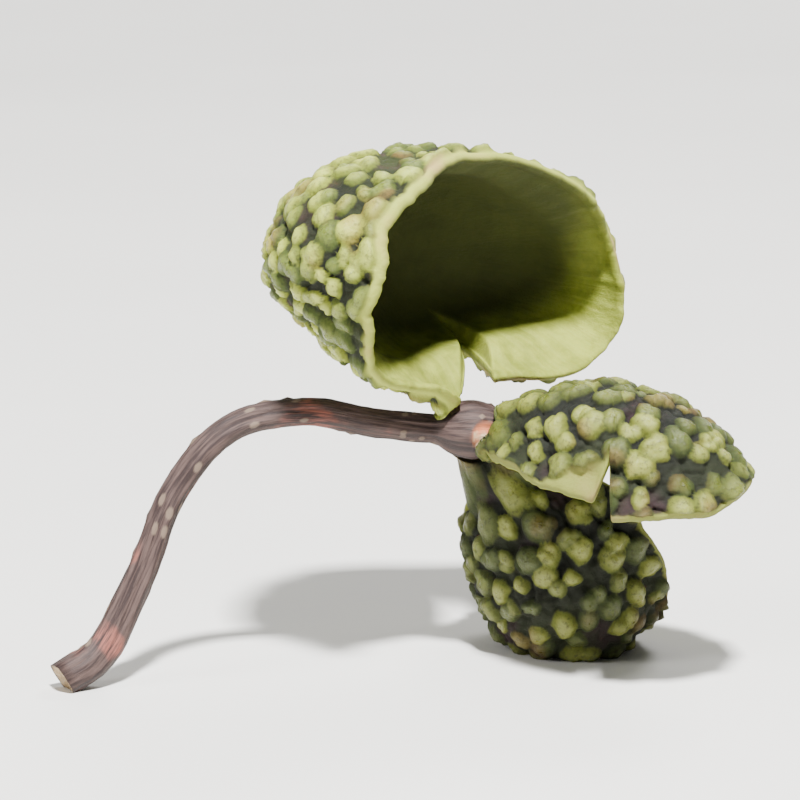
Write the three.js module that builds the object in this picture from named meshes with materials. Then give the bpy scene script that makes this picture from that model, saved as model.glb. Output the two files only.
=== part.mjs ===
import * as THREE from 'three';

// A sprig of dried green Sichuan pepper: three empty husks still joined to the knob of their stalk.
// Millimetres, +Z up. Places are given from the middle of the knob, and the finished sprig is then set
// down on z = 0 with the middle of its footprint at the origin. Seen from the front, along +Y, the wide
// open husk is on top, the boat-shaped one to the right, the third below, and the stalk to the left.

const { clamp, degToRad, lerp, smoothstep } = THREE.MathUtils;
const TURN = 2 * Math.PI;

// The floor that the sprig lies on, below the middle of the knob
const FLOOR_Z = -4.3;

// The knob at the end of the stalk, the share of it that is wood, how deep a husk is seated on it, and
// the hair of air at the seat
const KNOB_RADII = new THREE.Vector3(0.74, 0.58, 0.56);
const KNOB_FILL = 0.9;
const SEAT_DEPTH = 0.2;
const SEAT_GAP = 0.1;

// The stalk runs level from the knob, then droops to the floor on the left
const STALK_RADIUS = 0.31;
const STALK_FOOT_RADIUS = 0.38;
const STALK_ROUTE = [
  new THREE.Vector3(KNOB_FILL * KNOB_RADII.x, 0, 0),
  new THREE.Vector3(0.3, 0, 0),
  new THREE.Vector3(-0.6, 0, 0),
  new THREE.Vector3(-1.7, -0.04, 0.12),
  new THREE.Vector3(-3.0, -0.15, 0.34),
  new THREE.Vector3(-4.3, -0.35, 0.08),
  new THREE.Vector3(-5.25, -0.65, -0.95),
  new THREE.Vector3(-5.85, -1.0, -2.4),
  new THREE.Vector3(-6.5, -1.4, -3.65),
  new THREE.Vector3(-7.2, -1.75, FLOOR_Z + 0.2),
];
const STALK_RINGS = 40;
const STALK_SIDES = 12;
const STALK_RIBS = 4;
const STALK_RIB_DEPTH = 0.1;
const STALK_RIB_TWIST = 3;
const STALK_TAPER_END = 0.35;

// The husk wall, its thinner lip, and how far the lip turns out
const WALL = 0.6;
const LIP_WALL = 0.42;
const LIP_FLARE = 0.16;
const LIP_ZONE = degToRad(18);
const LIP_BANDS = 3;

// The base is drawn out to the knob in a neck of this radius
const NECK_RADIUS = 0.5;

// Oil glands: round warts all over the outside, and the smooth margin that they leave at the mouth
const GLAND_SPACING = 0.74;
const GLAND_RADIUS = [0.32, 0.47];
const GLAND_HEIGHT = [0.15, 0.28];
const GLAND_JITTER = 0.3;
const GLAND_MARGIN = degToRad(9);
const BARE_MARGIN = degToRad(3);
const GOLDEN_ANGLE = Math.PI * (3 - Math.sqrt(5));

// Shallow dents of the dried wall, and the waves along its lip
const DENT_PITCHES = [0.96, 1.56, 2.28];
const DENT_DEPTH = 0.09;
const LIP_WAVES = [3, 5, 8];
const LIP_WAVE = degToRad(1.1);

// A slit leans towards the right as it runs in from the lip: how fast, and how far round it is felt
const LEAN_RUN = degToRad(40);
const LEAN_REACH = degToRad(60);

// How strongly the columns of points crowd at a slit, and where they thin out near the middle of the back
const CROWDING = 0.7;
const HALF_COLUMNS_BELOW = 0.5;
const QUARTER_COLUMNS_BELOW = 0.22;

function seededRandom(seed) {
  let state = seed;
  return () => {
    state = (state * 1664525 + 1013904223) % 4294967296;
    return state / 4294967296;
  };
}

// A closed body through a row of rings, each running anticlockwise about the way from the first ring to
// the last. A ring of one point closes an end, and neighbours may have different numbers of points.
function closedBody(rings) {
  const positions = [];
  const starts = [];
  for (const ring of rings) {
    starts.push(positions.length / 3);
    ring.forEach((point) => positions.push(...point));
  }
  const faces = [];
  for (let k = 0; k + 1 < rings.length; k++) {
    const [countA, countB] = [rings[k].length, rings[k + 1].length];
    const stepsA = countA === 1 ? 0 : countA;
    const stepsB = countB === 1 ? 0 : countB;
    let [a, b] = [0, 0];
    while (a < stepsA || b < stepsB) {
      const cornerA = starts[k] + (a % countA);
      const cornerB = starts[k + 1] + (b % countB);
      if (b === stepsB || (a < stepsA && (a + 1) * countB <= (b + 1) * countA)) {
        a += 1;
        faces.push(cornerA, starts[k] + (a % countA), cornerB);
      } else {
        b += 1;
        faces.push(cornerA, starts[k + 1] + (b % countB), cornerB);
      }
    }
  }
  const geometry = new THREE.BufferGeometry();
  geometry.setAttribute('position', new THREE.Float32BufferAttribute(positions, 3));
  geometry.setIndex(faces);
  return geometry;
}

// Lifts a point onto the floor
function onFloor(point) {
  point.z = Math.max(point.z, FLOOR_Z);
  return point;
}

// Moves a point out of the knob, or of the stem to its left, to just off the surface
function offKnob(point) {
  const reach = point.clone().divide(KNOB_RADII.clone().addScalar(SEAT_GAP)).length();
  if (reach < 1) {
    point.divideScalar(reach);
  }
  const fromStem = Math.hypot(point.y, point.z) / (STALK_RADIUS + SEAT_GAP);
  if (point.x < 0 && fromStem < 1) {
    point.set(point.x, point.y / fromStem, point.z / fromStem);
  }
  return point;
}

// One husk. In its own axes x runs towards the base at the knob, y across, and z out of the mouth. Theta
// is 0 at the middle of the back and grows to the lip, and phi goes round the mouth from the base. Sag
// swells the mouth between its base and its right side, and draws it in between there and its tip.
function husk({ center, mouth, seat, radii, sag, rim, slit, seed, columns, rows, innerRows }) {
  const random = seededRandom(seed);
  const mouthAxis = mouth.clone().normalize();
  const toSeat = seat
    .clone()
    .divideScalar(seat.clone().divide(KNOB_RADII).length())
    .sub(center);
  const baseAxis = toSeat.clone().projectOnPlane(mouthAxis).normalize();
  const crossAxis = mouthAxis.clone().cross(baseAxis);
  const axes = new THREE.Matrix4().makeBasis(baseAxis, crossAxis, mouthAxis);

  const lipWaves = LIP_WAVES.map((count) => ({ count, phase: TURN * random() }));
  const dents = DENT_PITCHES.map((pitch) => ({
    axis: new THREE.Vector3(random() - 0.5, random() - 0.5, random() - 0.5).normalize(),
    pitch,
    phase: TURN * random(),
  }));

  // The neck draws the wall out, or a wide base in, to the seat on the knob
  const seatWay = toSeat.clone().applyMatrix4(axes.clone().transpose()).normalize();
  const wallReach = 1 / seatWay.clone().divide(radii).length();
  const neckFoot = seatWay.clone().multiplyScalar(wallReach);
  const neckLength = toSeat.length() + SEAT_DEPTH - wallReach;

  // The mouth's girth at an angle round it, as a share of a plain oval's
  function girth(phi) {
    return 1 + sag * Math.sin(2 * phi) * Math.max(0, Math.sin(phi));
  }

  const glandCount = Math.round((2 * TURN * ((radii.x + radii.y + radii.z) / 3) ** 2) / GLAND_SPACING ** 2);
  const glands = [];
  for (let k = 0; k < glandCount; k++) {
    const z = 1 - (2 * k + 1) / glandCount;
    const jitter = () => (random() - 0.5) * 2 * GLAND_JITTER * GLAND_SPACING;
    const turn = (k * GOLDEN_ANGLE) % TURN;
    const middle = new THREE.Vector3(Math.cos(turn), Math.sin(turn), 0)
      .multiplyScalar(girth(turn) * Math.sqrt(1 - z * z))
      .setZ(z)
      .multiply(radii)
      .add(new THREE.Vector3(jitter(), jitter(), jitter()));
    const size = random();
    glands.push({ middle, radius: lerp(...GLAND_RADIUS, size), height: lerp(...GLAND_HEIGHT, size) });
  }

  // Angle round the mouth from the slit, from -PI to PI
  function fromSlit(phi) {
    return Math.atan2(Math.sin(phi - slit.phi), Math.cos(phi - slit.phi));
  }

  // How far in the slit has cut the lip: 1 at its inner end, 0 away from it
  function slitShare(phi) {
    const off = fromSlit(phi);
    return Math.max(0, 1 - Math.abs(off) / (off < 0 ? slit.before : slit.after));
  }

  // Where the lip would run without the slit
  function wholeLipAngle(phi) {
    const side = Math.sin(phi) > 0 ? rim.right : rim.left;
    const end = Math.cos(phi) > 0 ? rim.base : rim.tip;
    const angle = lerp(side, end, Math.cos(phi) ** 2);
    const wave = lipWaves.reduce((sum, { count, phase }) => sum + Math.sin(count * phi + phase), 0);
    return angle + LIP_WAVE * wave;
  }

  // How far the slit draws the lip back, or the step that leaves the lip shorter past the slit
  function drawnBack(phi) {
    const off = fromSlit(phi);
    const step = off < 0 ? 0 : slit.step * (0.5 + 0.5 * Math.cos(off));
    return Math.max(slit.depth * slitShare(phi), step);
  }

  function lipAngle(phi) {
    return wholeLipAngle(phi) - drawnBack(phi);
  }

  function glandHeight(point) {
    let height = 0;
    for (const gland of glands) {
      const away = gland.middle.distanceTo(point) / gland.radius;
      if (away < 1) {
        height = Math.max(height, gland.height * (1 - away * away));
      }
    }
    return height;
  }

  // A point of the wall: depth is 0 on the outside and 1 on the lining
  function wallPoint(theta, column, depth, rounding = 0) {
    const edge = lipAngle(column);
    const angle = theta + rounding;
    const lean = slit.lean * Math.tanh((rim.base - angle) / LEAN_RUN);
    const phi = column + lean * Math.exp(-((fromSlit(column) / LEAN_REACH) ** 2));
    const way = new THREE.Vector3(Math.cos(phi), Math.sin(phi), 0)
      .multiplyScalar(girth(phi) * Math.sin(angle))
      .setZ(-Math.cos(angle));
    const nearLip = smoothstep(theta, edge - LIP_ZONE, edge);
    const normal = way.clone().divide(radii).normalize();
    const onShell = way.clone().multiply(radii);
    const flare = LIP_FLARE * (1 - slitShare(column)) * nearLip ** 2;
    let height = flare - depth * lerp(WALL, LIP_WALL, nearLip);
    for (const { axis, pitch, phase } of dents) {
      height += DENT_DEPTH * Math.sin(pitch * axis.dot(onShell) + phase);
    }
    if (depth === 0) {
      height += glandHeight(onShell) * (1 - smoothstep(theta, edge - GLAND_MARGIN, edge - BARE_MARGIN));
    }
    const neck = neckLength * Math.exp(-((neckFoot.distanceTo(onShell) / NECK_RADIUS) ** 2));
    onShell.addScaledVector(normal, height).addScaledVector(seatWay, neck);
    return onFloor(offKnob(onShell.applyMatrix4(axes).add(center)));
  }

  // Columns stand closer together at the slit
  function columnPhi(share) {
    const even = TURN * (share - 0.5);
    const crowding = CROWDING * slit.crowd * Math.tanh(even / slit.crowd);
    return slit.phi + ((even - crowding) * Math.PI) / (Math.PI - CROWDING * slit.crowd);
  }

  // Rings lie evenly on the back and draw together ahead of the slit
  function ring(count, share, depth, rounding = 0) {
    return Array.from({ length: count }, (_, k) => {
      const phi = columnPhi(k / count);
      return wallPoint(share * (wholeLipAngle(phi) - share * drawnBack(phi)), phi, depth, rounding);
    });
  }

  // Fewer columns meet near the middle of the back
  function columnsAt(share, most) {
    const spread = Math.sin(Math.min(share * rim.left, Math.PI / 2));
    if (spread > HALF_COLUMNS_BELOW) {
      return most;
    }
    return spread > QUARTER_COLUMNS_BELOW ? most / 2 : most / 4;
  }

  const rings = [[wallPoint(0, 0, 0)]];
  for (let k = 1; k <= rows; k++) {
    rings.push(ring(columnsAt(k / rows, columns), k / rows, 0));
  }
  for (let k = 1; k < LIP_BANDS; k++) {
    const depth = k / LIP_BANDS;
    rings.push(ring(columns, 1, depth, (LIP_WALL / 2 / radii.z) * Math.sin(Math.PI * depth)));
  }
  rings.push(ring(columns, 1, 1));
  for (let k = innerRows - 1; k > 0; k--) {
    rings.push(ring(columnsAt(k / innerRows, columns / 2), k / innerRows, 1));
  }
  rings.push([wallPoint(0, 0, 1)]);
  return closedBody(rings);
}

// The stalk with its knob: a ribbed stem that swells into an ellipsoid at the end that holds the husks
function stalk() {
  const route = new THREE.CatmullRomCurve3([...STALK_ROUTE].reverse());
  const frames = route.computeFrenetFrames(STALK_RINGS);
  const rings = [[onFloor(route.getPointAt(0))]];
  for (let k = 0; k < STALK_RINGS; k++) {
    const share = k / STALK_RINGS;
    const middle = route.getPointAt(share);
    const along = clamp(middle.x / (KNOB_FILL * KNOB_RADII.x), -1, 1);
    const knob = KNOB_FILL * KNOB_RADII.z * Math.sqrt(1 - along * along);
    const taper = lerp(STALK_FOOT_RADIUS, STALK_RADIUS, smoothstep(share, 0, STALK_TAPER_END));
    const stem = taper * (1 - smoothstep(middle.x, 0, KNOB_RADII.x / 2));
    rings.push(
      Array.from({ length: STALK_SIDES }, (_, side) => {
        const turn = (TURN * side) / STALK_SIDES;
        const rib = 1 - STALK_RIB_DEPTH * (0.5 + 0.5 * Math.cos(STALK_RIBS * turn + STALK_RIB_TWIST * share));
        const radius = Math.cbrt(knob ** 3 + (stem * rib) ** 3);
        return onFloor(
          middle
            .clone()
            .addScaledVector(frames.normals[k], radius * Math.cos(turn))
            .addScaledVector(frames.binormals[k], radius * Math.sin(turn)),
        );
      }),
    );
  }
  rings.push([route.getPointAt(1)]);
  return closedBody(rings);
}

const HUSK_OPEN = {
  center: new THREE.Vector3(-0.36, 0.3, 2.8),
  mouth: new THREE.Vector3(0.65, -0.76, 0.02),
  seat: new THREE.Vector3(-0.5, -0.1, 0.45),
  radii: new THREE.Vector3(2.03, 3.42, 3.1),
  sag: 0.15,
  rim: { left: degToRad(119), right: degToRad(100), base: degToRad(96), tip: degToRad(106) },
  slit: {
    phi: degToRad(9),
    depth: degToRad(38),
    before: degToRad(6),
    after: degToRad(7),
    step: 0,
    lean: degToRad(29),
    crowd: 0.35,
  },
  seed: 11,
  columns: 88,
  rows: 26,
  innerRows: 8,
};

const HUSK_SIDE = {
  center: new THREE.Vector3(2.6, -0.85, -0.58),
  mouth: new THREE.Vector3(-0.05, 0.14, -0.98),
  seat: new THREE.Vector3(1, -0.25, 0),
  radii: new THREE.Vector3(2.0, 1.75, 1.52),
  sag: 0,
  rim: { left: degToRad(94), right: degToRad(82), base: degToRad(90), tip: degToRad(87) },
  slit: {
    phi: degToRad(-98),
    depth: degToRad(36),
    before: degToRad(4),
    after: degToRad(8),
    step: degToRad(10),
    lean: 0,
    crowd: 0.3,
  },
  seed: 23,
  columns: 80,
  rows: 18,
  innerRows: 6,
};

const HUSK_UNDER = {
  center: new THREE.Vector3(1.78, 1.5, -2.65),
  mouth: new THREE.Vector3(0.81, 0.43, 0.42),
  seat: new THREE.Vector3(0, 0.5, -0.45),
  radii: new THREE.Vector3(1.85, 1.8, 1.8),
  sag: 0,
  rim: { left: degToRad(116), right: degToRad(116), base: degToRad(104), tip: degToRad(112) },
  slit: {
    phi: 0,
    depth: degToRad(20),
    before: degToRad(9),
    after: degToRad(9),
    step: 0,
    lean: 0,
    crowd: 0.3,
  },
  seed: 37,
  columns: 64,
  rows: 18,
  innerRows: 6,
};

const HUSK_FINISH = { color: 0x5c6b37, roughness: 0.62, metalness: 0 };
const STALK_FINISH = { color: 0x4d3a33, roughness: 0.7, metalness: 0 };

const sprig = new THREE.Group();

function addPiece(name, geometry, finish) {
  const piece = new THREE.Mesh(geometry, new THREE.MeshStandardMaterial(finish));
  piece.name = name;
  sprig.add(piece);
}

addPiece('stalk', stalk(), STALK_FINISH);
addPiece('husk_open', husk(HUSK_OPEN), HUSK_FINISH);
addPiece('husk_side', husk(HUSK_SIDE), HUSK_FINISH);
addPiece('husk_under', husk(HUSK_UNDER), HUSK_FINISH);

// Sets the sprig down with the middle of its footprint at the origin
const bounds = new THREE.Box3().setFromObject(sprig);
const middle = bounds.getCenter(new THREE.Vector3()).setZ(FLOOR_Z);
sprig.children.forEach((piece) => piece.geometry.translate(-middle.x, -middle.y, -middle.z));

export default sprig;
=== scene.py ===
import math

import bpy
import numpy as np
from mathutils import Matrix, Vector, noise


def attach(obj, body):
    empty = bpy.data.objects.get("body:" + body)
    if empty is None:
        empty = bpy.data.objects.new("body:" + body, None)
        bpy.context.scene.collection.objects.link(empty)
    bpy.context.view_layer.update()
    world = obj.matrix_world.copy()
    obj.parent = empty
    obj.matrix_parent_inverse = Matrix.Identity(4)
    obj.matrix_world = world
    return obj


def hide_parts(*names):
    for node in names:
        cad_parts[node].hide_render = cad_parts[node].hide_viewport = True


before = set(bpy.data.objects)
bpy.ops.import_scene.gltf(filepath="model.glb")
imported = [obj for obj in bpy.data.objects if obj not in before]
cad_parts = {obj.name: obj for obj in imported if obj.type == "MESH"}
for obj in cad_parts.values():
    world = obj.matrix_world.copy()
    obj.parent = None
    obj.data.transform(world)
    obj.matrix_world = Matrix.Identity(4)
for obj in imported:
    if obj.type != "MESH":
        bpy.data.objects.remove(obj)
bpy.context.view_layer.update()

# Stalk
# The woody flower stalk, dried and shrunk into lengthwise wrinkles, and snapped off at its thicker foot.
# It grew in one piece with the swollen knob that carries the husks. A husk that dropped off left the
# round reddish scar on the front of the knob.
MM = 0.001
TURN = 2 * math.pi
KNOB = np.array((1.289, -0.367, 4.3))
KNOB_RADII = np.array((0.74, 0.58, 0.56))
KNOB_FILL = 0.9
STALK_RADIUS = 0.26
STALK_FOOT_RADIUS = 0.34
STALK_TAPER_END = 0.35
STALK_ROUTE = KNOB + np.array([
    (-7.2, -1.75, -4.1),
    (-6.5, -1.4, -3.65),
    (-5.85, -1.0, -2.4),
    (-5.25, -0.65, -0.95),
    (-4.3, -0.35, 0.08),
    (-3.0, -0.15, 0.34),
    (-1.7, -0.04, 0.12),
    (-0.6, 0, 0),
    (0.3, 0, 0),
    (KNOB_FILL * KNOB_RADII[0], 0, 0),
])
STALK_SIDES = 56
STALK_CUTS = 239
END_RINGS = 4
END_RING_WIDTH = 0.2
BARK_RIBS = 4
BARK_RIB_DEPTH = 0.1
BARK_RIB_TWIST = 3
FURROW_DEPTH = 0.03
FURROW_WIDTHS = (0.42, 0.16)
FURROW_STRETCHES = (0.22, 0.4)
FINE_FURROW_SHARE = 0.6
WART_COUNT = 60
WART_RADIUS = 0.07
WART_SPREAD = (0.6, 1.2)
WART_HEIGHT = 0.035
WART_SEED = 5
SCAR_WAY = np.array((0.42, -0.9, -0.05))
SCAR_RADIUS = 0.25
SCAR_EDGE = (0.75, 1.15)
SCAR_DEPTH = 0.05
SCAR_LIP_HEIGHT = 0.03
SCAR_LIP_WIDTH = 0.25
BREAK_GRAIN = 0.12
BREAK_ROUGHNESS = 0.05
BREAK_DISH = 0.08
BARK_STRETCH = 0.25


def start_clean():
    """Nothing is selected and no edit is open."""
    if bpy.context.object and bpy.context.object.mode != "OBJECT":
        bpy.ops.object.mode_set(mode="OBJECT")
    bpy.ops.object.select_all(action="DESELECT")


def vertex_places(mesh):
    """The mesh's vertices as rows of x, y and z."""
    flat = np.zeros(len(mesh.vertices) * 3)
    mesh.vertices.foreach_get("co", flat)
    return flat.reshape(-1, 3)


def move_vertices(mesh, places):
    """Moves the vertices to places given in millimetres."""
    mesh.vertices.foreach_set("co", (places * MM).ravel())
    mesh.update()


def mark(mesh, name, values):
    """Keeps one number, or one vector, for each vertex."""
    kind, field = ("FLOAT_VECTOR", "vector") if values.ndim == 2 else ("FLOAT", "value")
    mesh.attributes.new(name, kind, "POINT").data.foreach_set(field, values.astype(np.float32).ravel())


def smooth_step(x, low, high):
    """A smooth rise from 0 at low to 1 at high."""
    t = np.clip((x - low) / (high - low), 0, 1)
    return t * t * (3 - 2 * t)


def grain(places, size, octaves=3):
    """Fractal noise between about -1 and 1, with features of the given size in millimetres."""
    return np.array([noise.fractal(p, 1.0, 2.0, octaves) for p in places / size])


def smooth_route(points, steps=30):
    """Points close together on a smooth curve through the given ones."""
    ends = [2 * points[0] - points[1], *points, 2 * points[-1] - points[-2]]
    t = np.linspace(0, 1, steps, endpoint=False)[:, None]
    route = []
    for before, start, end, after in zip(ends, ends[1:], ends[2:], ends[3:]):
        bend = (2 * before - 5 * start + 4 * end - after) * t + (3 * start - before - 3 * end + after) * t * t
        route.append(start + (end - before + bend) * t / 2)
    return np.vstack([*route, points[-1]])


class Nodes:
    """A material's node tree, with one call for each node."""

    def __init__(self, name):
        self.material = bpy.data.materials.new(name)
        self.material.use_nodes = True
        self.tree = self.material.node_tree
        self.shader = self.tree.nodes["Principled BSDF"]

    def add(self, kind, inputs=None, **settings):
        made = self.tree.nodes.new("ShaderNode" + kind)
        for key, value in settings.items():
            setattr(made, key, value)
        for key, value in (inputs or {}).items():
            self.put(made.inputs[key], value)
        return made

    def put(self, socket, value):
        if isinstance(value, bpy.types.NodeSocket):
            self.tree.links.new(value, socket)
        else:
            socket.default_value = value

    def attribute(self, name, output="Fac"):
        return self.add("Attribute", attribute_name=name).outputs[output]

    def here(self):
        return self.add("TexCoord").outputs["Object"]

    def noise(self, vector, scale, detail=4.0, rough=0.55):
        inputs = {"Vector": vector, "Scale": scale, "Detail": detail, "Roughness": rough}
        return self.add("TexNoise", inputs).outputs["Fac"]

    def spread(self, value, low, high, to_low=0.0, to_high=1.0):
        inputs = {"Value": value, "From Min": low, "From Max": high, "To Min": to_low, "To Max": to_high}
        return self.add("MapRange", inputs, interpolation_type="SMOOTHSTEP").outputs["Result"]

    def math(self, operation, a, b):
        return self.add("Math", {0: a, 1: b}, operation=operation).outputs[0]

    def mix(self, share, a, b, blend="MIX"):
        made = self.add("Mix", data_type="RGBA", blend_type=blend)
        self.put(made.inputs[0], share)
        self.put(made.inputs[6], a)
        self.put(made.inputs[7], b)
        return made.outputs[2]

    def bump(self, height, distance, strength=1.0, under=None):
        inputs = {"Height": height, "Distance": distance * MM, "Strength": strength}
        if under is not None:
            inputs["Normal"] = under
        return self.add("Bump", inputs).outputs["Normal"]

    def finish(self, color, roughness, normal, **uniform):
        self.put(self.shader.inputs["Base Color"], color)
        self.put(self.shader.inputs["Roughness"], roughness)
        self.put(self.shader.inputs["Normal"], normal)
        for key, value in uniform.items():
            self.shader.inputs[key.replace("_", " ")].default_value = value
        return self.material


def close_piece(piece, material, node):
    """Gives the piece its finish and its place in the frame."""
    piece.data.materials.clear()
    piece.data.materials.append(material)
    piece.data.shade_smooth()
    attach(piece, "root")
    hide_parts(node)


# A straight rod, cut across into rings and dished at its foot
start_clean()
bpy.ops.mesh.primitive_cylinder_add(vertices=STALK_SIDES, radius=1, depth=1, end_fill_type="NGON")
stalk = bpy.context.object
stalk.name = stalk.data.name = "stalk_bark"
bpy.ops.object.mode_set(mode="EDIT")
bpy.ops.mesh.select_mode(type="EDGE")
bpy.ops.mesh.select_all(action="DESELECT")
bpy.ops.object.mode_set(mode="OBJECT")
for edge in stalk.data.edges:
    low, high = (stalk.data.vertices[v].co.z for v in edge.vertices)
    edge.select = abs(high - low) > 0.5
bpy.ops.object.mode_set(mode="EDIT")
bpy.ops.mesh.subdivide(number_cuts=STALK_CUTS)
bpy.ops.mesh.select_all(action="DESELECT")
bpy.ops.mesh.select_mode(type="FACE")
bpy.ops.object.mode_set(mode="OBJECT")
for face in stalk.data.polygons:
    face.select = abs(face.normal.z) > 0.9
bpy.ops.object.mode_set(mode="EDIT")
for _ in range(END_RINGS):
    bpy.ops.mesh.inset(thickness=END_RING_WIDTH, use_boundary=True)
bpy.ops.mesh.poke()
bpy.ops.object.mode_set(mode="OBJECT")

# The rod is bent along the route, swollen into the knob and wrinkled
rod = vertex_places(stalk.data)
around = np.arctan2(rod[:, 1], rod[:, 0])
across = np.minimum(np.hypot(rod[:, 0], rod[:, 1]), 1)
share = 1 - (0.5 - rod[:, 2]) ** 2
route = smooth_route(STALK_ROUTE)
run = np.concatenate([[0], np.cumsum(np.linalg.norm(np.diff(route, axis=0), axis=1))])
along = share * run[-1]
middle = np.stack([np.interp(along, run, route[:, k]) for k in range(3)], axis=1)
tangent = np.gradient(route, run, axis=0)
tangent = np.stack([np.interp(along, run, tangent[:, k]) for k in range(3)], axis=1)
tangent /= np.linalg.norm(tangent, axis=1)[:, None]
side_way = np.array((0, 1, 0)) - tangent * tangent[:, 1:2]
side_way /= np.linalg.norm(side_way, axis=1)[:, None]
up_way = np.cross(tangent, side_way)

knob_share = np.clip((middle[:, 0] - KNOB[0]) / (KNOB_FILL * KNOB_RADII[0]), -1, 1)
knob_radius = KNOB_FILL * KNOB_RADII[2] * np.sqrt(1 - knob_share**2)
taper = STALK_FOOT_RADIUS + (STALK_RADIUS - STALK_FOOT_RADIUS) * smooth_step(share, 0, STALK_TAPER_END)
stem = taper * (1 - smooth_step(middle[:, 0] - KNOB[0], 0, KNOB_RADII[0] / 2))
rib = 1 - BARK_RIB_DEPTH * (0.5 + 0.5 * np.cos(BARK_RIBS * around + BARK_RIB_TWIST * share))
radius = np.cbrt(knob_radius**3 + (stem * rib) ** 3)
unrolled = np.stack([np.cos(around), np.sin(around), along], axis=1)
furrows = grain(unrolled * (1, 1, FURROW_STRETCHES[0]), FURROW_WIDTHS[0])
furrows += FINE_FURROW_SHARE * grain(unrolled * (1, 1, FURROW_STRETCHES[1]) + 7, FURROW_WIDTHS[1])
wrinkled = radius + FURROW_DEPTH * furrows * smooth_step(radius, 0, 0.3)
outward = side_way * np.cos(around)[:, None] + up_way * np.sin(around)[:, None]
bark = middle + outward * (across * wrinkled)[:, None]

# Cork warts sit here and there on the bark
draw = np.random.default_rng(WART_SEED)
warts = draw.choice(len(bark), WART_COUNT, replace=False)
wart = np.zeros(len(bark))
for k in warts:
    away = np.linalg.norm(bark - bark[k], axis=1) / (WART_RADIUS * draw.uniform(*WART_SPREAD))
    wart = np.maximum(wart, np.clip(1 - away**2, 0, 1))
wart *= across > 0.99

# The scar is a shallow dish with a raised lip, and the foot is a rough break
scar_middle = KNOB + SCAR_WAY / np.linalg.norm(SCAR_WAY / (KNOB_FILL * KNOB_RADII))
scar_away = np.linalg.norm(bark - scar_middle, axis=1) / SCAR_RADIUS
scar = 1 - smooth_step(scar_away, *SCAR_EDGE)
scar_lip = np.exp(-(((scar_away - 1) / SCAR_LIP_WIDTH) ** 2))
bark += outward * (WART_HEIGHT * wart + SCAR_LIP_HEIGHT * scar_lip - SCAR_DEPTH * scar)[:, None]
cut = (share <= share.min() + 1e-6) & (across < 0.999)
broken = BREAK_ROUGHNESS * grain(bark[cut], BREAK_GRAIN) + BREAK_DISH * (1 - across[cut])
bark[cut] += tangent[cut] * broken[:, None]
bark[:, 2] = np.maximum(bark[:, 2], 0)
move_vertices(stalk.data, bark)
mark(stalk.data, "bark_way", unrolled * (1, 1, BARK_STRETCH))
mark(stalk.data, "scar", scar)
mark(stalk.data, "break", cut.astype(float))
mark(stalk.data, "wart", wart)

# Bark: dark reddish brown with grey-purple streaks and rosy patches that are partly painted highlight, matt,
# finely furrowed
bark_nodes = Nodes("stalk bark")
bark_way = bark_nodes.attribute("bark_way", "Vector")
streaks = bark_nodes.noise(bark_way, 5.0, 6, 0.62)
tint_and_highlight_patches = bark_nodes.noise(bark_nodes.here(), 900.0, 3)
streak = bark_nodes.spread(streaks, 0.38, 0.66)
bark_color = bark_nodes.mix(streak, (0.02, 0.009, 0.008, 1), (0.088, 0.053, 0.045, 1))
# Rosy patches along the streaks: a reddish tint in the bark, partly painted highlight
rosy_tint_and_highlight = bark_nodes.math("MULTIPLY", bark_nodes.spread(tint_and_highlight_patches, 0.54, 0.66), streak)
bark_color = bark_nodes.mix(rosy_tint_and_highlight, bark_color, (0.28, 0.085, 0.06, 1))
wart_cover = bark_nodes.spread(bark_nodes.attribute("wart"), 0.15, 0.55)
bark_color = bark_nodes.mix(wart_cover, bark_color, (0.15, 0.105, 0.075, 1))
scar_color = bark_nodes.mix(
    bark_nodes.spread(bark_nodes.noise(bark_nodes.here(), 2600.0, 3), 0.42, 0.58),
    (0.62, 0.2, 0.09, 1),
    (0.78, 0.6, 0.36, 1),
)
bark_color = bark_nodes.mix(bark_nodes.attribute("scar"), bark_color, scar_color)
bark_color = bark_nodes.mix(bark_nodes.attribute("break"), bark_color, (0.42, 0.3, 0.17, 1))
bark_bump = bark_nodes.bump(bark_nodes.noise(bark_way, 14.0, 5, 0.65), 0.02, 0.8)
stalk_bark = bark_nodes.finish(
    bark_color, bark_nodes.spread(streaks, 0.3, 0.7, 0.5, 0.72), bark_bump, Specular_IOR_Level=0.4
)
close_piece(stalk, stalk_bark, "stalk")

# Open husk
# One half of a dried pepper fruit's rind, sprung wide open like a bonnet: a warty rind outside and a smooth
# papery lining inside, grown as one shell and drawn out to a short neck at the knob. The seam split
# beside the neck leaves the slit in its floor.
WALL = 0.42
LIP_WALL = 0.18
LIP_NICK = math.radians(1.3)
LIP_NICK_SIZE = 0.13
LIP_FLARE = 0.16
LIP_ZONE = math.radians(18)
LIP_CUTS = 4
NECK_RADIUS = 0.5
SEAT_DEPTH = 0.2
SEAT_GAP = 0.1
GLAND_SPACING = 0.43
GLAND_RADIUS = (0.17, 0.29)
GLAND_HEIGHT = (0.1, 0.18)
GLAND_JITTER = 0.36
GLAND_ROUNDNESS = 0.62
GLAND_WARP = 0.07
GLAND_WARP_SIZE = 0.35
GLAND_MARGIN = math.radians(2.6)
GLAND_FADE = 0.6
WRINKLE_SIZES = (0.8, 0.33)
WRINKLE_DEPTHS = (0.09, 0.05)
WRINKLE_WIDTH = 0.12
CRUST_SIZE = 0.13
CRUST_HEIGHT = 0.016
GOLDEN_ANGLE = math.pi * (3 - math.sqrt(5))
DENT_PITCHES = (0.96, 1.56, 2.28)
DENT_DEPTH = 0.09
LIP_WAVES = (3, 5, 8)
LIP_WAVE = math.radians(1.1)
LEAN_RUN = math.radians(40)
LEAN_REACH = math.radians(60)
CROWDING = 0.7
PATCH_WANDER = math.radians(7)
PATCH_WANDER_SIZE = 0.5
PATCH_FADE = math.radians(5)
SHELL = 0.1
BOWL_OPENING = math.radians(104)
LINING_START = (0.15, 0.55)
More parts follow.
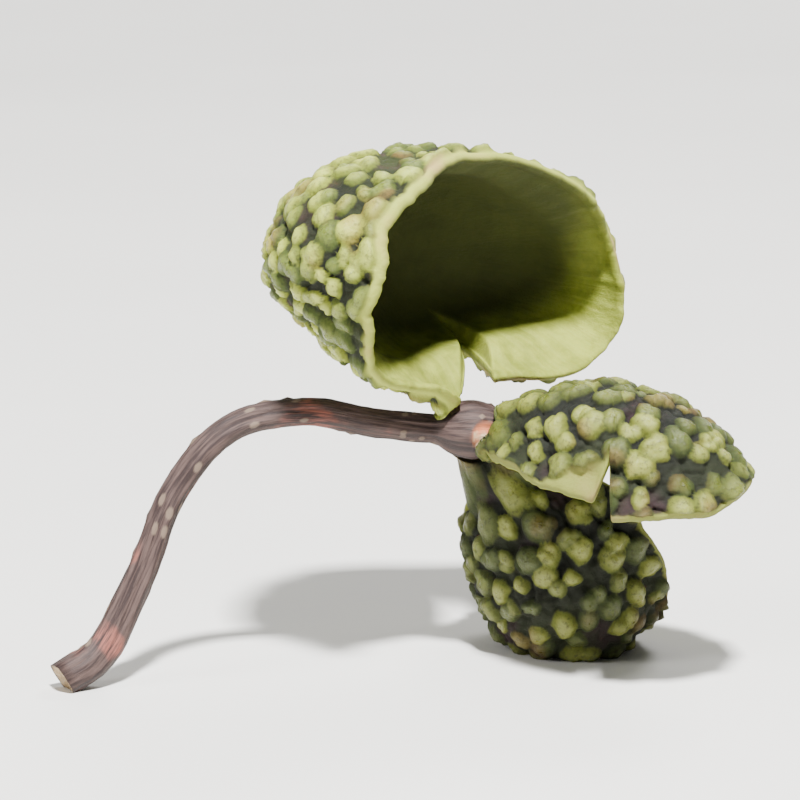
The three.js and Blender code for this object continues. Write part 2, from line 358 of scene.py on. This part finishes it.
# Where the painted shade inside the bowl fades out towards the lip, and how far it leans towards the base
PAINTED_SHADE_EDGE = (0.7, 1.0)
PAINTED_SHADE_LEAN = 0.3
FIBRE_STRETCH = 0.12


def drawn(seed):
    """Even random numbers from 0 to 1, the same for the same seed."""
    state = seed
    while True:
        state = (state * 1664525 + 1013904223) % 4294967296
        yield state / 4294967296


def swell(sag, phi):
    """How far the wall stands out round the mouth, as a share of a plain oval."""
    return 1 + sag * np.sin(2 * phi) * np.maximum(np.sin(phi), 0)


def unit(vector):
    """The same way, one long."""
    vector = np.asarray(vector, float)
    return vector / np.linalg.norm(vector)


def plain_bowl(columns, rows):
    """A thin ball shell on end, cut open above a ring, with a lip in steps, and that ring's angle."""
    start_clean()
    rings = round(rows * math.pi / BOWL_OPENING)
    bpy.ops.mesh.primitive_uv_sphere_add(segments=columns, ring_count=rings, radius=1)
    bowl = bpy.context.object
    lip_height = -math.cos(rows * math.pi / rings)
    bpy.ops.object.mode_set(mode="EDIT")
    bpy.ops.mesh.select_mode(type="FACE")
    bpy.ops.mesh.select_all(action="DESELECT")
    bpy.ops.object.mode_set(mode="OBJECT")
    for face in bowl.data.polygons:
        face.select = face.center.z > lip_height
    bpy.ops.object.mode_set(mode="EDIT")
    bpy.ops.mesh.delete(type="FACE")
    bpy.ops.object.mode_set(mode="OBJECT")
    wall = bowl.modifiers.new("wall", "SOLIDIFY")
    wall.thickness = SHELL
    wall.offset = -1
    bpy.ops.object.modifier_apply(modifier=wall.name)
    bpy.ops.object.mode_set(mode="EDIT")
    bpy.ops.mesh.select_mode(type="EDGE")
    bpy.ops.mesh.select_all(action="DESELECT")
    bpy.ops.object.mode_set(mode="OBJECT")
    reach = np.linalg.norm(vertex_places(bowl.data), axis=1)
    for edge in bowl.data.edges:
        first, last = edge.vertices
        edge.select = abs(reach[first] - reach[last]) > SHELL / 2
    bpy.ops.object.mode_set(mode="EDIT")
    bpy.ops.mesh.subdivide(number_cuts=LIP_CUTS)
    bpy.ops.object.mode_set(mode="OBJECT")
    return bowl, rows * math.pi / rings


def make_husk(name, node, center, mouth, seat, radii, sag, rim, slit, bald, painted_shade, seed, columns, rows):
    """A bowl dried to the husk's shape, with its glands raised from the outside.

    The center is in millimetres from the middle of the knob, and mouth and seat are ways. The radii run
    towards the husk's base, across, and out of its mouth. The angles of the rim, of the slit and of the
    bald patch are in degrees. The slit's crowd is an angle too, in radians, and the share of painted shade
    that darkens and greys the outside runs from 0 to 1.
    """
    bowl, cut_angle = plain_bowl(columns, rows)
    bowl.name = bowl.data.name = name
    plain = vertex_places(bowl.data)
    reach = np.linalg.norm(plain, axis=1)
    share = np.arccos(np.clip(-plain[:, 2] / reach, -1, 1)) / cut_angle
    depth = np.clip((1 - reach) / SHELL, 0, 1)
    turn = np.arctan2(plain[:, 1], plain[:, 0])
    radii = np.array(radii)
    random = drawn(seed)

    # The husk's own axes: towards its base, across, and out of its mouth
    mouth_axis = unit(mouth)
    on_knob = np.array(seat) / np.linalg.norm(np.array(seat) / KNOB_RADII)
    to_seat = on_knob - center
    base_axis = unit(to_seat - mouth_axis * (to_seat @ mouth_axis))
    axes = np.array([base_axis, np.cross(mouth_axis, base_axis), mouth_axis])
    waves = [(count, TURN * next(random)) for count in LIP_WAVES]
    dents = []
    for pitch in DENT_PITCHES:
        way = unit([next(random) - 0.5, next(random) - 0.5, next(random) - 0.5])
        dents.append((way, pitch, TURN * next(random)))

    # Columns crowd at the slit, and the lip runs round the mouth at its own angle
    crowd = slit["crowd"]
    column = turn - CROWDING * crowd * np.tanh(turn / crowd)
    column = math.radians(slit["phi"]) + column * math.pi / (math.pi - CROWDING * crowd)
    side = np.where(np.sin(column) > 0, rim["right"], rim["left"])
    end = np.where(np.cos(column) > 0, rim["base"], rim["tip"])
    edge = np.radians(side + (end - side) * np.cos(column) ** 2)
    edge += LIP_WAVE * sum(np.sin(count * column + phase) for count, phase in waves)
    mouth_ring = np.stack([np.cos(column), np.sin(column), np.full(len(column), seed)], axis=1)
    edge = edge + LIP_NICK * grain(mouth_ring, LIP_NICK_SIZE)
    off = np.angle(np.exp(1j * (column - math.radians(slit["phi"]))))
    width = np.radians(np.where(off < 0, slit["before"], slit["after"]))
    cut = np.clip(1 - np.abs(off) / width, 0, None)
    step = np.where(off < 0, 0, slit["step"] * (0.5 + 0.5 * np.cos(off)))
    whole_edge = edge
    edge = edge - np.radians(np.maximum(slit["depth"] * cut, step))

    # The bowl takes the husk's girth, with the slit leaning over and the mouth sagging to one side
    theta = share * (whole_edge - share * (whole_edge - edge))
    angle = theta + LIP_WALL / 2 / radii[2] * np.sin(math.pi * depth)
    lean = math.radians(slit["lean"]) * np.tanh((math.radians(rim["base"]) - angle) / LEAN_RUN)
    phi = column + lean * np.exp(-((off / LEAN_REACH) ** 2))
    girth = np.sin(angle) * swell(sag, phi)
    shell = np.stack([girth * np.cos(phi), girth * np.sin(phi), -np.cos(angle)], axis=1)
    normal = shell / radii
    normal /= np.linalg.norm(normal, axis=1)[:, None]
    shell *= radii
    near_lip = smooth_step(theta, edge - LIP_ZONE, edge)
    height = LIP_FLARE * (1 - cut) * near_lip**2 - depth * (WALL + (LIP_WALL - WALL) * near_lip)
    for dent_way, pitch, phase in dents:
        height += DENT_DEPTH * np.sin(pitch * (shell @ dent_way) + phase)

    # The lip's smooth margin, and the bald patch that narrows away from the slit
    smooth_rim = smooth_step(theta, edge - GLAND_MARGIN, edge - (1 - GLAND_FADE) * GLAND_MARGIN)
    patch = bald["depth"] * np.clip(1 - np.degrees(off) / bald["width"], 0, 1) * (off >= 0)
    patch_start = whole_edge - np.radians(patch) + PATCH_WANDER * grain(shell, PATCH_WANDER_SIZE)
    patch_cover = smooth_step(theta, patch_start, patch_start + PATCH_FADE) * (patch > 0)
    smooth_rim = np.maximum(smooth_rim, patch_cover)

    # Round glands, packed close, each with its own size and tint, on a finely wrinkled skin
    outside = np.flatnonzero(depth < 0.01)
    skin = shell[outside]
    bare = 1 - smooth_rim[outside]
    count = round(2 * TURN * radii.mean() ** 2 / GLAND_SPACING**2)
    warp = np.stack([grain(skin + 10 * k, GLAND_WARP_SIZE, 2) for k in (1, 2, 3)], axis=1)
    warped = skin + GLAND_WARP * warp
    dome = np.zeros(len(skin))
    shade = np.full(len(skin), 0.5)
    lift = np.zeros(len(skin))
    for k in range(count):
        z = 1 - (2 * k + 1) / count
        flat = math.sqrt(1 - z * z)
        spot = np.array((math.cos(k * GOLDEN_ANGLE) * flat, math.sin(k * GOLDEN_ANGLE) * flat, z)) * radii
        spot += [2 * (next(random) - 0.5) * GLAND_JITTER * GLAND_SPACING for _ in range(3)]
        spot /= np.linalg.norm(spot / radii)
        spot[:2] *= swell(sag, math.atan2(spot[1] / radii[1], spot[0] / radii[0]))
        size, hue = next(random), next(random)
        radius = GLAND_RADIUS[0] + (GLAND_RADIUS[1] - GLAND_RADIUS[0]) * size
        rise = GLAND_HEIGHT[0] + (GLAND_HEIGHT[1] - GLAND_HEIGHT[0]) * size
        away = ((warped - spot) ** 2).sum(axis=1) / radius**2
        bead = np.clip(1 - away, 0, None) ** GLAND_ROUNDNESS
        higher = rise * bead > lift
        lift[higher] = rise * bead[higher]
        dome[higher] = bead[higher]
        shade[higher] = hue
    for size, drop in zip(WRINKLE_SIZES, WRINKLE_DEPTHS):
        fold = np.abs(grain(skin + seed, size, 2))
        lift -= drop * np.exp(-((fold / WRINKLE_WIDTH) ** 2)) * (1 - 0.5 * dome)
    lift += CRUST_HEIGHT * grain(skin - seed, CRUST_SIZE, 2)
    height[outside] += lift * bare
    gland = np.zeros(len(shell))
    gland[outside] = dome * bare
    tint = np.full(len(shell), 0.5)
    tint[outside] = shade

    neck_way = axes @ unit(to_seat)
    wall_reach = 1 / np.linalg.norm(neck_way / radii)
    neck = (np.linalg.norm(to_seat) + SEAT_DEPTH - wall_reach) * np.exp(
        -((shell - neck_way * wall_reach) ** 2).sum(axis=1) / NECK_RADIUS**2
    )
    places = (shell + normal * height[:, None] + neck_way * neck[:, None]) @ axes + center
    seat_reach = np.linalg.norm(places / (KNOB_RADII + SEAT_GAP), axis=1)
    places /= np.minimum(seat_reach, 1)[:, None]
    stem_reach = np.hypot(places[:, 1], places[:, 2]) / (STALK_RADIUS + SEAT_GAP)
    beside_stem = (places[:, 0] < 0) & (stem_reach < 1)
    places[beside_stem, 1:] /= stem_reach[beside_stem, None]
    places += KNOB
    places[:, 2] = np.maximum(places[:, 2], 0)
    move_vertices(bowl.data, places)
    mark(bowl.data, "gland", gland)
    mark(bowl.data, "tint", tint)
    mark(bowl.data, "lip", smooth_rim * (1 - depth))
    mark(bowl.data, "lining", smooth_step(depth, *LINING_START))
    towards_base = np.cos(phi) * np.sin(angle)
    # Painted shade: the deep inside of the bowl, away from the lip, is marked to be darkened
    mark(bowl.data, "painted_hollow_shade", 1 - smooth_step(share + PAINTED_SHADE_LEAN * towards_base, *PAINTED_SHADE_EDGE))
    # Painted shade: how far this husk's outside is darkened and greyed, for the husks that lie in shade
    mark(bowl.data, "painted_shade", np.full(len(shell), painted_shade))
    mark(bowl.data, "fibre", np.stack([np.cos(phi), np.sin(phi), FIBRE_STRETCH * theta], axis=1))
    close_piece(bowl, husk_rind, node)


# Rind: dark green between pale waxy glands, brown-purple in places, with a pale lip and a satin lining
# Painted shade deepens the creases between glands, darkens the deep inside of the lining and dulls the husks
# that lie in shade.
rind = Nodes("husk rind")
rind_here = rind.here()
gland_top = rind.attribute("gland")
gland_tint = rind.attribute("tint")
blotches = rind.noise(rind_here, 520.0, 3)
speckle = rind.noise(rind_here, 11000.0, 5, 0.7)
# The skin between the glands is dark green, and darker still with painted shade in the creases
valley_and_shade = rind.mix(rind.spread(blotches, 0.4, 0.62), (0.006, 0.008, 0.002, 1), (0.022, 0.03, 0.005, 1))
purple = rind.spread(rind.noise(rind_here, 850.0, 2), 0.54, 0.68, 0, 0.7)
valley_and_shade = rind.mix(purple, valley_and_shade, (0.045, 0.016, 0.02, 1))
flank = rind.mix(rind.spread(gland_tint, 0.05, 0.95), (0.046, 0.066, 0.009, 1), (0.19, 0.225, 0.02, 1))
crown = rind.mix(rind.spread(gland_tint, 0.05, 0.95), (0.12, 0.155, 0.02, 1), (0.43, 0.48, 0.08, 1))
ruddy = rind.spread(rind.noise(rind_here, 700.0, 2), 0.55, 0.68, 0, 0.5)
flank = rind.mix(ruddy, flank, (0.17, 0.07, 0.022, 1))
crown = rind.mix(ruddy, crown, (0.3, 0.17, 0.045, 1))
outer = rind.mix(rind.spread(gland_top, 0.1, 0.5), valley_and_shade, flank)
outer = rind.mix(rind.spread(gland_top, 0.5, 1.0), outer, crown)
outer = rind.mix(rind.spread(speckle, 0.48, 0.68, 0, 0.55), outer, (0.02, 0.022, 0.007, 1))
lip_color = rind.mix(rind.spread(blotches, 0.5, 0.7), (0.34, 0.38, 0.06, 1), (0.4, 0.3, 0.1, 1))
outer = rind.mix(rind.attribute("lip"), outer, lip_color)
# Painted shade: the outside, lip included, is darkened and greyed towards purple-grey by the husk's share
outer = rind.mix(rind.attribute("painted_shade"), outer, (0.4, 0.38, 0.48, 1), "MULTIPLY")
fibres = rind.noise(rind.attribute("fibre", "Vector"), 26.0, 5, 0.6)
mottle = rind.noise(rind_here, 1500.0, 5, 0.6)
lining = rind.mix(rind.spread(mottle, 0.3, 0.7), (0.16, 0.19, 0.016, 1), (0.31, 0.35, 0.045, 1))
lining = rind.mix(rind.spread(fibres, 0.35, 0.7, 0, 0.35), lining, (0.37, 0.4, 0.08, 1))
# Painted shade: the deep inside of the lining is darkened nearly to black
painted_hollow_shade = rind.math("MULTIPLY", rind.attribute("painted_hollow_shade"), 0.92)
lining = rind.mix(painted_hollow_shade, lining, (0.026, 0.031, 0.005, 1))
rind_color = rind.mix(rind.attribute("lining"), outer, lining)
rind_rough = rind.spread(gland_top, 0.6, 1.0, 0.82, 0.27)
rind_bump = rind.bump(fibres, 0.02, 0.5, rind.bump(speckle, 0.04, 0.8))
husk_rind = rind.finish(
    rind_color,
    rind_rough,
    rind_bump,
    Specular_IOR_Level=0.34,
    Subsurface_Weight=0.05,
    Subsurface_Scale=0.1 * MM,
)

make_husk(
    "husk_open_rind",
    "husk_open",
    center=(-0.36, 0.3, 2.8),
    mouth=(0.65, -0.76, 0.02),
    seat=(-0.5, -0.1, 0.45),
    radii=(2.03, 3.42, 3.1),
    sag=0.15,
    rim={"left": 119, "right": 100, "base": 96, "tip": 106},
    slit={"phi": 9, "depth": 38, "before": 6, "after": 7, "step": 0, "lean": 29, "crowd": 0.35},
    bald={"depth": 0, "width": 1},
    painted_shade=0.0,
    seed=11,
    columns=352,
    rows=110,
)

# Side husk
# A smaller boat-shaped half on the right of the knob, warty side up, gaping downwards so that its pale lip
# shows along its lower edge. It grew in one piece, like the open one.
make_husk(
    "husk_side_rind",
    "husk_side",
    center=(2.6, -0.85, -0.58),
    mouth=(-0.05, 0.14, -0.98),
    seat=(1, -0.25, 0),
    radii=(2.0, 1.75, 1.52),
    sag=0,
    rim={"left": 94, "right": 82, "base": 90, "tip": 87},
    slit={"phi": -98, "depth": 36, "before": 4, "after": 8, "step": 10, "lean": 0, "crowd": 0.3},
    bald={"depth": 40, "width": 50},
    # Painted shade darkens and greys this husk's outside
    painted_shade=0.75,
    seed=23,
    columns=256,
    rows=80,
)

# Under husk
# The lowest half, which the sprig lies on. It gapes to the right and back, so that from the front only its
# back, darkened with painted shade, and the thin curve of its lip show.
make_husk(
    "husk_under_rind",
    "husk_under",
    center=(1.78, 1.5, -2.65),
    mouth=(0.81, 0.43, 0.42),
    seat=(0, 0.5, -0.45),
    radii=(1.85, 1.8, 1.8),
    sag=0,
    rim={"left": 116, "right": 116, "base": 104, "tip": 112},
    slit={"phi": 0, "depth": 20, "before": 9, "after": 9, "step": 0, "lean": 0, "crowd": 0.3},
    bald={"depth": 0, "width": 1},
    # Painted shade darkens and greys this husk's outside
    painted_shade=0.9,
    seed=37,
    columns=256,
    rows=90,
)

# Floor and backdrop
# One sheet of pale, matt card that lies on the table and curves up behind the sprig. Three soft lamps
# stand round it, the strongest high in front, and the room adds a little light from all sides.
FLOOR_REACH = 0.3
BACKDROP_Y = 0.16
SWEEP_RADIUS = 0.08
SWEEP_STEPS = 16
start_clean()
bpy.ops.mesh.primitive_plane_add(size=2 * FLOOR_REACH, location=(0, BACKDROP_Y - FLOOR_REACH, 0))
bpy.ops.object.transform_apply(location=True)
floor = bpy.context.object
floor.name = floor.data.name = "floor"
bpy.ops.object.mode_set(mode="EDIT")
bpy.ops.mesh.select_mode(type="EDGE")
bpy.ops.mesh.select_all(action="DESELECT")
bpy.ops.object.mode_set(mode="OBJECT")
for edge in floor.data.edges:
    edge.select = all(floor.data.vertices[v].co.y > BACKDROP_Y - 1e-6 for v in edge.vertices)
bpy.ops.object.mode_set(mode="EDIT")
bpy.ops.mesh.extrude_region_move(TRANSFORM_OT_translate={"value": (0, 0, FLOOR_REACH)})
bpy.ops.object.mode_set(mode="OBJECT")
sweep = floor.modifiers.new("sweep", "BEVEL")
sweep.width = SWEEP_RADIUS
sweep.segments = SWEEP_STEPS
bpy.ops.object.modifier_apply(modifier=sweep.name)
floor.data.shade_smooth()
card = Nodes("pale card")
card_tone = card.noise(card.here(), 60.0, 3)
card_color = card.mix(card.spread(card_tone, 0.3, 0.7), (0.7, 0.69, 0.66, 1), (0.73, 0.72, 0.69, 1))
floor.data.materials.append(
    card.finish(card_color, 0.85, card.bump(card.noise(card.here(), 1500.0, 3), 0.02, 0.2))
)


def soft_light(name, place, size, power, aim=(0, 0, 0.005)):
    """A square lamp of the given side in metres, turned to the sprig."""
    start_clean()
    bpy.ops.object.light_add(type="AREA", location=place)
    lamp = bpy.context.object
    lamp.name = name
    lamp.data.size = size
    lamp.data.energy = power
    lamp.rotation_euler = (Vector(aim) - Vector(place)).to_track_quat("-Z", "Y").to_euler()


soft_light("key light", (0.01, -0.075, 0.15), 0.016, 1.2)
soft_light("left light", (-0.13, -0.06, 0.09), 0.05, 0.12)
soft_light("back light", (0.05, 0.1, 0.12), 0.05, 0.15)
world = bpy.data.worlds.new("studio")
bpy.context.scene.world = world
world.use_nodes = True
studio_air = world.node_tree.nodes["Background"]
studio_air.inputs["Color"].default_value = (0.95, 0.97, 1.0, 1)
studio_air.inputs["Strength"].default_value = 0.08

# Camera
# A long lens straight in front of the sprig, looking a little down on it, with the whole sprig in view
# from the foot of the stalk to the side husk.
CAMERA_ELEVATION = math.radians(12)
CAMERA_LENS = 200
CAMERA_WIDTH = 14.2 * MM
bpy.ops.object.camera_add()
camera = bpy.context.object
camera.name = "camera"
camera.data.lens = CAMERA_LENS
aim = (0.0, 0.0, 4.75 * MM)
distance = CAMERA_WIDTH * CAMERA_LENS / camera.data.sensor_width
camera.location = (
    aim[0],
    aim[1] - distance * math.cos(CAMERA_ELEVATION),
    aim[2] + distance * math.sin(CAMERA_ELEVATION),
)
camera.rotation_euler = (math.pi / 2 - CAMERA_ELEVATION, 0, 0)
camera.data.clip_start = 0.005
camera.data.clip_end = 5
bpy.context.scene.camera = camera
